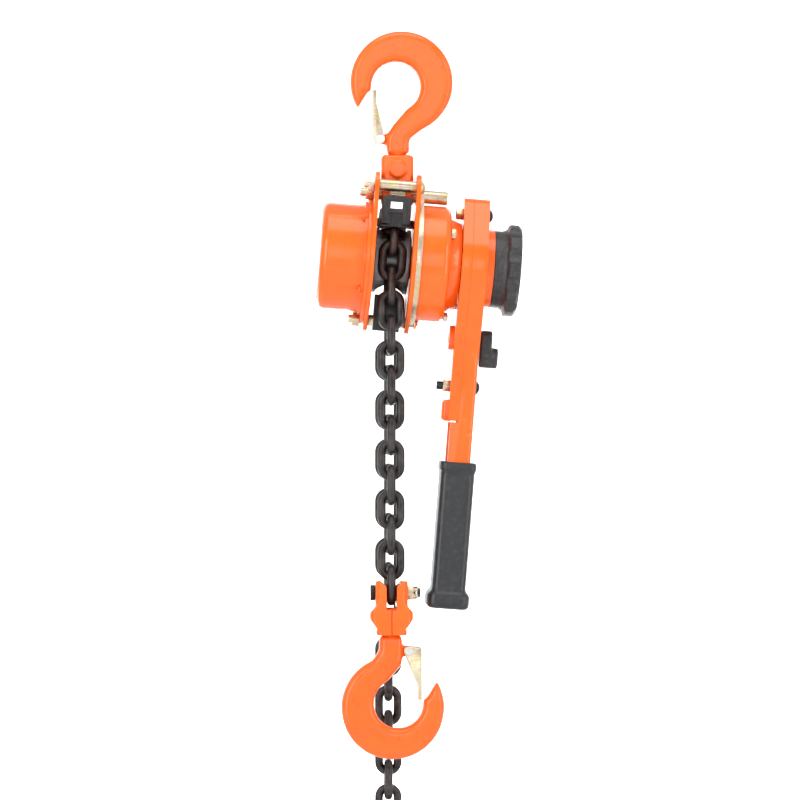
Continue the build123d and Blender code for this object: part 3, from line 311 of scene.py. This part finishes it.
def cells(tree, scale):
    """Distance to the nearest cell centre of a cell pattern on object coordinates."""
    coordinates = tree.nodes.new("ShaderNodeTexCoord")
    texture = tree.nodes.new("ShaderNodeTexVoronoi")
    tree.links.new(coordinates.outputs["Object"], texture.inputs["Vector"])
    tree.links.new(scale, texture.inputs["Scale"])
    return texture.outputs["Distance"]


def make_edge_wear():
    """Mask of the corners where a finish has rubbed through."""
    group, given, out = new_group(
        "Edge Wear", [("Amount", "NodeSocketFloat", 0.5), ("Grit", "NodeSocketFloat", 900.0)],
        [("Mask", "NodeSocketFloat")])
    geometry = group.nodes.new("ShaderNodeNewGeometry")
    corner = remap(group, geometry.outputs["Pointiness"], 0.53, 0.62)
    grit = noise(group, given.outputs["Grit"], 6.0, 0.65)
    broken = remap(group, grit, 0.45, 0.62)
    mask = math_node(group, "MULTIPLY", corner, broken)
    group.links.new(math_node(group, "MULTIPLY", mask, given.outputs["Amount"]), out.inputs["Mask"])
    return group


def make_flow_coat():
    """Height of sprayed enamel: a soft orange peel over a slow ripple."""
    group, given, out = new_group(
        "Flow Coat", [("Peel", "NodeSocketFloat", 420.0), ("Ripple", "NodeSocketFloat", 60.0)],
        [("Height", "NodeSocketFloat"), ("Tone", "NodeSocketFloat")])
    peel = noise(group, given.outputs["Peel"], 2.0, 0.4)
    ripple = noise(group, given.outputs["Ripple"], 3.0, 0.5)
    height = math_node(group, "ADD", math_node(group, "MULTIPLY", peel, 0.35), ripple)
    group.links.new(height, out.inputs["Height"])
    group.links.new(remap(group, ripple, 0.35, 0.65), out.inputs["Tone"])
    return group


def make_plating():
    """Tone and streaks of zinc plating: drifting passivation colour and fine tumbling marks."""
    group, given, out = new_group(
        "Plating", [("Drift", "NodeSocketFloat", 90.0), ("Marks", "NodeSocketFloat", 1600.0)],
        [("Tone", "NodeSocketFloat"), ("Scratch", "NodeSocketFloat")])
    group.links.new(remap(group, noise(group, given.outputs["Drift"], 4.0), 0.35, 0.66), out.inputs["Tone"])
    marks = noise(group, given.outputs["Marks"], 6.0, 0.7, (0.12, 1.0, 1.0))
    group.links.new(remap(group, marks, 0.3, 0.7), out.inputs["Scratch"])
    return group


def make_forge_skin():
    """Height and tone of blackened or cast steel: scale, small pits and oily patches."""
    group, given, out = new_group(
        "Forge Skin", [("Scale", "NodeSocketFloat", 500.0)],
        [("Height", "NodeSocketFloat"), ("Patch", "NodeSocketFloat")])
    distance = cells(group, given.outputs["Scale"])
    rough = noise(group, given.outputs["Scale"], 8.0, 0.7)
    height = math_node(group, "ADD", rough, math_node(group, "MULTIPLY", distance, 0.25))
    group.links.new(height, out.inputs["Height"])
    group.links.new(remap(group, noise(group, 130.0, 4.0), 0.38, 0.62), out.inputs["Patch"])
    return group


def make_mould_grain():
    """Height of spark-eroded plastic and the dust that sits in it."""
    group, given, out = new_group(
        "Mould Grain", [("Scale", "NodeSocketFloat", 1500.0)],
        [("Height", "NodeSocketFloat"), ("Dust", "NodeSocketFloat")])
    distance = cells(group, given.outputs["Scale"])
    group.links.new(distance, out.inputs["Height"])
    group.links.new(remap(group, noise(group, 260.0, 8.0, 0.7), 0.5, 0.75), out.inputs["Dust"])
    return group


def use_group(tree, group, **values):
    """Place a shader group and set its inputs."""
    node = tree.nodes.new("ShaderNodeGroup")
    node.node_tree = group
    for label, value in values.items():
        node.inputs[label].default_value = value
    return node


# ---------------------------------------------------------------- materials

def new_material(name, metallic=0.0, roughness=0.4, coat=0.0, specular=0.5):
    """A material with its shader's constant sockets set."""
    material = bpy.data.materials.new(name)
    material.use_nodes = True
    shader = material.node_tree.nodes["Principled BSDF"]
    shader.inputs["Metallic"].default_value = metallic
    shader.inputs["Roughness"].default_value = roughness
    shader.inputs["Coat Weight"].default_value = coat
    shader.inputs["Coat Roughness"].default_value = 0.06
    shader.inputs["Specular IOR Level"].default_value = specular
    return material, material.node_tree, shader


def bump(tree, shader, height, distance):
    """Feed a height into the shader's normal."""
    node = tree.nodes.new("ShaderNodeBump")
    node.inputs["Distance"].default_value = distance
    tree.links.new(height, node.inputs["Height"])
    tree.links.new(node.outputs["Normal"], shader.inputs["Normal"])


def vary_gloss(tree, shader, value, gloss, spread):
    """Let a value from 0 to 1 roughen the shader by up to a spread."""
    tree.links.new(remap(tree, value, 0, 1, gloss, gloss + spread), shader.inputs["Roughness"])


def shade(colour, factor):
    """A colour made lighter or darker."""
    return tuple(channel * factor for channel in colour)


def enamel(groups, name, colour, gloss, peel, ripple, lumps):
    """Sprayed enamel with orange peel and rubbed corners."""
    material, tree, shader = new_material(name, roughness=gloss, coat=0.25, specular=0.4)
    coat = use_group(tree, groups["flow"], Peel=peel, Ripple=ripple)
    wear = use_group(tree, groups["wear"], Amount=0.12)
    tone = mix_colour(tree, coat.outputs["Tone"], shade(colour, 0.93), shade(colour, 1.04))
    paint = mix_colour(tree, wear.outputs["Mask"], tone, (0.16, 0.05, 0.02))
    tree.links.new(paint, shader.inputs["Base Color"])
    vary_gloss(tree, shader, coat.outputs["Tone"], gloss, 0.08)
    bump(tree, shader, coat.outputs["Height"], lumps)
    return material


def blackened(groups, name, colour, scale, depth, gloss, metallic):
    """Blackened or black painted steel with scale, oil and rubbed corners."""
    material, tree, shader = new_material(name, metallic=metallic)
    skin = use_group(tree, groups["forge"], Scale=scale)
    wear = use_group(tree, groups["wear"], Amount=0.8, Grit=1400.0)
    tone = mix_colour(tree, skin.outputs["Patch"], shade(colour, 0.7), shade(colour, 1.5))
    tree.links.new(mix_colour(tree, wear.outputs["Mask"], tone, (0.16, 0.155, 0.15)), shader.inputs["Base Color"])
    vary_gloss(tree, shader, skin.outputs["Patch"], gloss, 0.2)
    bump(tree, shader, skin.outputs["Height"], depth)
    return material


def plated(groups, name, low, high, tint, gloss):
    """Zinc plating whose passivation drifts between three colours."""
    material, tree, shader = new_material(name, metallic=1.0)
    plating = use_group(tree, groups["plating"])
    tone = mix_colour(tree, plating.outputs["Tone"], low, high)
    pink = remap(tree, noise(tree, 210.0, 3.0), 0.5, 0.7)
    tree.links.new(mix_colour(tree, pink, tone, tint), shader.inputs["Base Color"])
    vary_gloss(tree, shader, plating.outputs["Scratch"], gloss, 0.22)
    bump(tree, shader, plating.outputs["Scratch"], 0.00002)
    return material


def machined(groups, name, colour, gloss):
    """Ground and oiled gear steel."""
    material, tree, shader = new_material(name, metallic=1.0)
    plating = use_group(tree, groups["plating"], Drift=60.0, Marks=2400.0)
    tone = mix_colour(tree, plating.outputs["Tone"], shade(colour, 0.8), shade(colour, 1.15))
    tree.links.new(tone, shader.inputs["Base Color"])
    vary_gloss(tree, shader, plating.outputs["Scratch"], gloss, 0.18)
    bump(tree, shader, plating.outputs["Scratch"], 0.000015)
    return material


def moulded(groups, name, colour, grain, depth, gloss, dust):
    """Moulded plastic or rubber with grain and a little pale dust."""
    material, tree, shader = new_material(name)
    skin = use_group(tree, groups["grain"], Scale=grain)
    amount = math_node(tree, "MULTIPLY", skin.outputs["Dust"], dust)
    tree.links.new(mix_colour(tree, amount, colour, (0.16, 0.16, 0.165)), shader.inputs["Base Color"])
    vary_gloss(tree, shader, skin.outputs["Dust"], gloss, 0.2)
    bump(tree, shader, skin.outputs["Height"], depth)
    return material


def lining(groups):
    """Resin-bonded brake lining with brass flecks."""
    material, tree, shader = new_material("Brake Lining", roughness=0.85)
    skin = use_group(tree, groups["forge"], Scale=1200.0)
    flecks = remap(tree, noise(tree, 2600.0, 2.0), 0.66, 0.7)
    tone = mix_colour(tree, skin.outputs["Patch"], (0.10, 0.07, 0.05), (0.20, 0.14, 0.09))
    tree.links.new(mix_colour(tree, flecks, tone, (0.6, 0.45, 0.2)), shader.inputs["Base Color"])
    bump(tree, shader, skin.outputs["Height"], 0.0001)
    return material


def make_materials():
    """Every finish, by the record's slot."""
    groups = {
        "wear": make_edge_wear(), "flow": make_flow_coat(), "plating": make_plating(),
        "forge": make_forge_skin(), "grain": make_mould_grain(),
    }
    tone = colours()
    yellow = tuple(tone.zinc_yellow)
    bright = tuple(tone.zinc_bright)
    return {
        "orange_paint": enamel(groups, "Orange Enamel", tuple(tone.enamel), 0.2, 420.0, 55.0, 0.00006),
        "orange_hook": enamel(groups, "Hook Paint", tuple(tone.hook_paint), 0.26, 300.0, 85.0, 0.00022),
        "black_chain": blackened(groups, "Chain Steel", tuple(tone.chain), 700.0, 0.00012, 0.3, 0.75),
        "yellow_zinc": plated(groups, "Yellow Zinc", yellow, (0.72, 0.66, 0.5), (0.62, 0.42, 0.40), 0.2),
        "bright_zinc": plated(groups, "Bright Zinc", bright, (0.75, 0.74, 0.7), (0.6, 0.6, 0.66), 0.22),
        "black_casting": blackened(groups, "Black Casting", (0.02, 0.02, 0.021), 420.0, 0.00016, 0.34, 0.2),
        "gear_steel": machined(groups, "Gear Steel", (0.16, 0.16, 0.165), 0.34),
        "dark_steel": blackened(groups, "Black Oxide", (0.03, 0.03, 0.032), 900.0, 0.00004, 0.32, 0.8),
        "brake_lining": lining(groups),
        "bronze": machined(groups, "Sintered Bronze", (0.56, 0.36, 0.16), 0.4),
        "spring_steel": machined(groups, "Spring Wire", (0.30, 0.30, 0.31), 0.2),
        "black_plastic": moulded(groups, "Grained Plastic", tuple(tone.plastic), 1300.0, 0.00012, 0.42, 0.35),
        "black_rubber": moulded(groups, "Grip Rubber", tuple(tone.rubber), 2200.0, 0.00003, 0.34, 0.16),
    }


MATERIALS = {}


def slot_of(node):
    """The record's finish of a CAD node."""
    for entry in frame["record"]["subparts"]:
        if entry["node"] == node:
            return entry["material_slot"]
    raise RuntimeError("no finish for " + node)


def body_of(node):
    """The body that a CAD node moves with."""
    return frame["nodes"][node]["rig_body"]


def paint(thing, slot):
    """Give a piece one finish."""
    thing.data.materials.clear()
    thing.data.materials.append(MATERIALS[slot])


# ---------------------------------------------------------------- pieces

def finish_piece(mesh_maker, name, node, replaced):
    """Turn a bmesh into a finished piece that rides with a node's body and stands for it."""
    mesh = bpy.data.meshes.new(name)
    mesh_maker.to_mesh(mesh)
    mesh_maker.free()
    mesh.shade_smooth()
    mesh.set_sharp_from_angle(angle=CREASE_ANGLE)
    piece = bpy.data.objects.new(name, mesh)
    bpy.context.scene.collection.objects.link(piece)
    chosen = slot_of(node)
    paint(piece, chosen)
    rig.ride(piece, body_of(node))
    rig.slot(piece, chosen)
    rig.replaces(piece, *replaced)
    return piece


def merged_copy(node):
    """A node's own shape with its triangles joined into whole faces."""
    work = bmesh.new()
    work.from_mesh(frame["nodes"][node].data)
    bmesh.ops.remove_doubles(work, verts=work.verts, dist=MERGE_DISTANCE)
    bmesh.ops.dissolve_limit(work, angle_limit=FLAT_ANGLE, verts=work.verts, edges=work.edges)
    return work


def rounded(node, width, segments=3):
    """Stand a copy with softly rounded corners in for a node."""
    work = merged_copy(node)
    sharp = [
        edge for edge in work.edges
        if edge.is_manifold and edge.calc_face_angle(0.0) > BEVEL_ANGLE
    ]
    bmesh.ops.bevel(
        work, geom=sharp, offset=width, segments=segments, profile=0.5, affect="EDGES", material=-1,
        clamp_overlap=True, offset_type="OFFSET", loop_slide=True)
    return finish_piece(work, node + "_rounded", node, [node])


def softened(node, voxel, passes):
    """Stand a copy whose corners have flowed, like a forging's or a casting's, in for a node."""
    piece = finish_piece(merged_copy(node), node + "_softened", node, [node])
    remesh = piece.modifiers.new("Even Skin", "REMESH")
    remesh.mode = "VOXEL"
    remesh.voxel_size = voxel
    remesh.use_smooth_shade = True
    smooth = piece.modifiers.new("Flowed Corners", "SMOOTH")
    smooth.factor = 0.5
    smooth.iterations = passes
    return piece


def islands(work):
    """The separate shells of a mesh, as lists of vertices."""
    left = set(work.verts)
    found = []
    while left:
        reached = {left.pop()}
        front = list(reached)
        while front:
            vert = front.pop()
            for edge in vert.link_edges:
                other = edge.other_vert(vert)
                if other in left:
                    left.remove(other)
                    reached.add(other)
                    front.append(other)
        found.append([vert.co.copy() for vert in reached])
    return found


def wind_coil(work, points, axis, wire):
    """Add a coil of wire, of a given radius, that fills the sleeve given by some points round an axis."""
    axis = axis.normalized()
    along = [point.dot(axis) for point in points]
    low, high = min(along) + wire, max(along) - wire
    flat = [point - axis * point.dot(axis) for point in points]
    centre = Vector((
        (min(p.x for p in flat) + max(p.x for p in flat)) / 2,
        (min(p.y for p in flat) + max(p.y for p in flat)) / 2,
        (min(p.z for p in flat) + max(p.z for p in flat)) / 2))
    centre -= axis * centre.dot(axis)
    radius = max((point - centre).length for point in flat) - wire
    across = axis.orthogonal().normalized()
    up = axis.cross(across)
    turns = max(2, round((high - low) / (COIL_PITCH * wire)))
    rings = []
    for step in range(turns * COIL_STEPS + 1):
        angle = 2 * pi * step / COIL_STEPS
        outward = across * cos(angle) + up * sin(angle)
        along_axis = low + (high - low) * step / (turns * COIL_STEPS)
        middle = centre + axis * along_axis + outward * radius
        ring = []
        for side in range(COIL_SIDES):
            turn = 2 * pi * side / COIL_SIDES
            ring.append(work.verts.new(middle + wire * (outward * cos(turn) + axis * sin(turn))))
        rings.append(ring)
    for near, far in zip(rings, rings[1:]):
        for side in range(COIL_SIDES):
            after = (side + 1) % COIL_SIDES
            work.faces.new((near[side], near[after], far[after], far[side]))
    work.faces.new(rings[0][::-1])
    work.faces.new(rings[-1])
    bmesh.ops.recalc_face_normals(work, faces=work.faces)


def wound(node, joint, wire, travel=0.0, seat=min):
    """Stand wound coils in for a node of plain sleeves whose axis is a joint's.

    A coil with some travel shortens by it towards its seat, the lower or the higher end along the axis.
    """
    source = merged_copy(node)
    shells = islands(source)
    source.free()
    work = bmesh.new()
    axis = joint_axis(joint)
    for points in shells:
        wind_coil(work, points, axis, wire)
    piece = finish_piece(work, node + "_coils", node, [node])
    if travel:
        along = [point.dot(axis) for point in shells[0]]
        length = max(along) - min(along)
        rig.squash(piece, joint, axis, seat(shells[0], key=axis.dot), 1 - travel / length)
    return piece


def joint_axis(name):
    """The direction of one of the record's joints."""
    for joint in frame["record"]["behaviour"]["joints"]:
        if joint["name"] == name:
            return Vector(joint["axis"])
    raise RuntimeError("no joint " + name)


class HOIST_OT_finishes(bpy.types.Operator):
    """Give every piece of the frame its procedural finish"""
    bl_idname = "hoist.finishes"
    bl_label = "Apply finishes"

    def execute(self, context):
        MATERIALS.update(make_materials())
        for node, thing in frame["nodes"].items():
            paint(thing, slot_of(node))
        return {"FINISHED"}


class HOIST_OT_stage(bpy.types.Operator):
    """Build the pale floor, the backdrop, the soft lights and the camera"""
    bl_idname = "hoist.stage"
    bl_label = "Build the stage"

    def execute(self, context):
        lowest, _ = CAD_BOX
        build_backdrop(lowest.z - FLOOR_GAP)
        build_lights(VIEW_CENTRE)
        build_camera(VIEW_CENTRE)
        return {"FINISHED"}


def build_backdrop(floor):
    """A round floor that curves up into a wall on every side."""
    work = bmesh.new()
    flat = BACKDROP_REACH - BACKDROP_CORNER
    profile = [Vector((0, 0, floor)), Vector((flat, 0, floor))]
    for step in range(1, BACKDROP_STEPS + 1):
        angle = pi / 2 * step / BACKDROP_STEPS
        out, rise = BACKDROP_CORNER * sin(angle), BACKDROP_CORNER * cos(angle)
        profile.append(Vector((flat + out, 0, floor + BACKDROP_CORNER - rise)))
    profile.append(Vector((BACKDROP_REACH, 0, BACKDROP_TOP)))
    verts = [work.verts.new(place) for place in profile]
    edges = [work.edges.new(pair) for pair in zip(verts, verts[1:])]
    bmesh.ops.spin(
        work, geom=verts + edges, cent=(0, 0, 0), axis=(0, 0, 1), dvec=(0, 0, 0), angle=2 * pi, steps=64,
        use_merge=True, use_duplicate=False)
    bmesh.ops.remove_doubles(work, verts=work.verts, dist=1e-5)
    bmesh.ops.recalc_face_normals(work, faces=work.faces)
    mesh = bpy.data.meshes.new("Backdrop")
    work.to_mesh(mesh)
    work.free()
    mesh.shade_smooth()
    backdrop = bpy.data.objects.new("Backdrop", mesh)
    bpy.context.scene.collection.objects.link(backdrop)
    material, tree, shader = new_material("Pale Backdrop", roughness=0.9)
    tone = mix_colour(tree, remap(tree, noise(tree, 1.5, 2.0), 0.3, 0.7), (0.88, 0.88, 0.88), (0.92, 0.92, 0.92))
    tree.links.new(tone, shader.inputs["Base Color"])
    backdrop.data.materials.append(material)
    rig.stage(backdrop)


def add_area(name, place, target, size, power):
    """One soft rectangular light."""
    lamp = bpy.data.lights.new(name, "AREA")
    lamp.shape = "RECTANGLE"
    lamp.size, lamp.size_y = size
    lamp.energy = power
    thing = bpy.data.objects.new(name, lamp)
    thing.location = place
    thing.rotation_euler = (Vector(target) - Vector(place)).to_track_quat("-Z", "Y").to_euler()
    bpy.context.scene.collection.objects.link(thing)


def build_lights(middle):
    """Two tall soft boxes, an overhead panel, a front fill, a backdrop wash and a pale sky."""
    add_area("Left Softbox", (-1.5, -1.6, 0.25), middle, (0.7, 1.9), 24)
    add_area("Right Softbox", (1.7, -1.2, 0.1), middle, (0.6, 1.8), 16)
    add_area("Top Panel", (0.0, -0.4, 1.5), middle, (1.6, 1.2), 16)
    add_area("Front Fill", (0.1, -3.4, 0.3), middle, (1.4, 1.4), 10)
    add_area("Backdrop Wash", (0.0, 1.4, 0.4), (0, 6, -0.4), (3.5, 2.5), 420)
    world = bpy.data.worlds.new("Pale Studio")
    bpy.context.scene.world = world
    world.use_nodes = True
    world.node_tree.nodes["Background"].inputs["Color"].default_value = (1, 1, 1, 1)
    world.node_tree.nodes["Background"].inputs["Strength"].default_value = SKY_STRENGTH
    bpy.context.scene.view_settings.view_transform = "Standard"


def build_camera(middle):
    """The camera, level and a little to the left of the hoist's front."""
    data = bpy.data.cameras.new("Camera")
    camera = bpy.data.objects.new("Camera", data)
    bpy.context.scene.collection.objects.link(camera)
    distance = sizes().camera_distance
    side = sizes().camera_side
    camera.location = middle + distance * Vector((sin(side), -cos(side), 0))
    camera.rotation_euler = (radians(90), 0, side)
    data.sensor_width = 36
    data.lens = data.sensor_width * distance / sizes().view_width
    data.clip_end = 50
    bpy.context.scene.camera = camera


class HOIST_OT_castings(bpy.types.Operator):
    """Round the corners of the covers, the lever halves and the chain's guides"""
    bl_idname = "hoist.castings"
    bl_label = "Round the castings"

    def execute(self, context):
        width = sizes().casting_round
        for node in ("gear_cover", "brake_cover", "lever_outer_half", "lever_inner_half", "chain_guide",
                     "chain_stripper"):
            rounded(node, width)
        return {"FINISHED"}


class HOIST_OT_plates(bpy.types.Operator):
    """Ease the edges of the stamped plates and latches"""
    bl_idname = "hoist.plates"
    bl_label = "Ease the plates"

    def execute(self, context):
        for node in ("gear_side_plate", "brake_side_plate", "gear_case_plate", "ratchet_plate", "top_latch",
                     "bottom_latch"):
            rounded(node, sizes().plate_round, 2)
        return {"FINISHED"}


class HOIST_OT_forgings(bpy.types.Operator):
    """Let the corners of the forged hooks and yokes flow"""
    bl_idname = "hoist.forgings"
    bl_label = "Soften the forgings"

    def execute(self, context):
        for node in ("top_hook", "bottom_hook"):
            softened(node, sizes().forging_skin, HOOK_PASSES)
        for node in ("top_yoke", "bottom_yoke_left_half", "bottom_yoke_right_half"):
            softened(node, sizes().forging_skin * YOKE_SKIN, YOKE_PASSES)
        return {"FINISHED"}


class HOIST_OT_mouldings(bpy.types.Operator):
    """Round the handwheel, the change knob and the grip"""
    bl_idname = "hoist.mouldings"
    bl_label = "Round the mouldings"

    def execute(self, context):
        width = sizes().moulding_round
        rounded("handwheel", width)
        softened("selector_knob", width * KNOB_SKIN, KNOB_PASSES)
        softened("lever_grip", width * GRIP_SKIN, GRIP_PASSES)
        return {"FINISHED"}


class HOIST_OT_springs(bpy.types.Operator):
    """Wind the springs of the brake, the lever and the handwheel"""
    bl_idname = "hoist.springs"
    bl_label = "Wind the springs"

    def execute(self, context):
        wound("freewheel_spring", "handwheel_pull", 0.0006, 0.005, min)
        wound("detent_spring", "detent_press", 0.0005, 0.0012, max)
        wound("pawl_springs", "ratchet_turn", 0.0004)
        return {"FINISHED"}


class HOIST_OT_fasteners(bpy.types.Operator):
    """Break the corners of nuts, pins, studs and the sheave"""
    bl_idname = "hoist.fasteners"
    bl_label = "Ease the fasteners"

    def execute(self, context):
        for node in ("rod_nuts", "stay_bolts", "suspension_pin", "lever_nuts", "lever_bolts", "brake_cover_studs",
                     "chain_bolt", "chain_bolt_nut", "load_sheave", "gear_cover_screws", "shaft_nut"):
            rounded(node, sizes().fastener_round, 2)
        return {"FINISHED"}


class HOIST_PT_panel(bpy.types.Panel):
    """Lists the hoist's sizes, colours and steps"""
    bl_idname = "HOIST_PT_panel"
    bl_label = "Lever Chain Hoist"
    bl_space_type = "VIEW_3D"
    bl_region_type = "UI"
    bl_category = "Hoist"

    def draw(self, context):
        for group in (context.scene.hoist_sizes, context.scene.hoist_colours):
            for name in group.bl_rna.properties.keys():
                if name not in ("rna_type", "name"):
                    self.layout.prop(group, name)
        for step in STEPS:
            self.layout.operator(step.bl_idname)


STEPS = (
    HOIST_OT_finishes,
    HOIST_OT_stage,
    HOIST_OT_castings,
    HOIST_OT_plates,
    HOIST_OT_forgings,
    HOIST_OT_mouldings,
    HOIST_OT_fasteners,
    HOIST_OT_springs,
)
CLASSES = (HoistSizes, HoistColours, *STEPS, HOIST_PT_panel)


def register():
    """Register the add-on's classes."""
    for item in CLASSES:
        bpy.utils.register_class(item)
    bpy.types.Scene.hoist_sizes = bpy.props.PointerProperty(type=HoistSizes)
    bpy.types.Scene.hoist_colours = bpy.props.PointerProperty(type=HoistColours)


def unregister():
    """Remove the add-on's classes."""
    del bpy.types.Scene.hoist_colours
    del bpy.types.Scene.hoist_sizes
    for item in reversed(CLASSES):
        bpy.utils.unregister_class(item)


def main():
    """Dress the hoist and note its box before and after."""
    register()
    for step in STEPS:
        group, name = step.bl_idname.split(".")
        getattr(getattr(bpy.ops, group), name)()
    boxes = {"cad": [list(corner) for corner in CAD_BOX], "visual": [list(corner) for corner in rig.bounds()]}
    with open("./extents.json", "w") as file:
        json.dump(boxes, file)


if __name__ == "__main__":
    main()
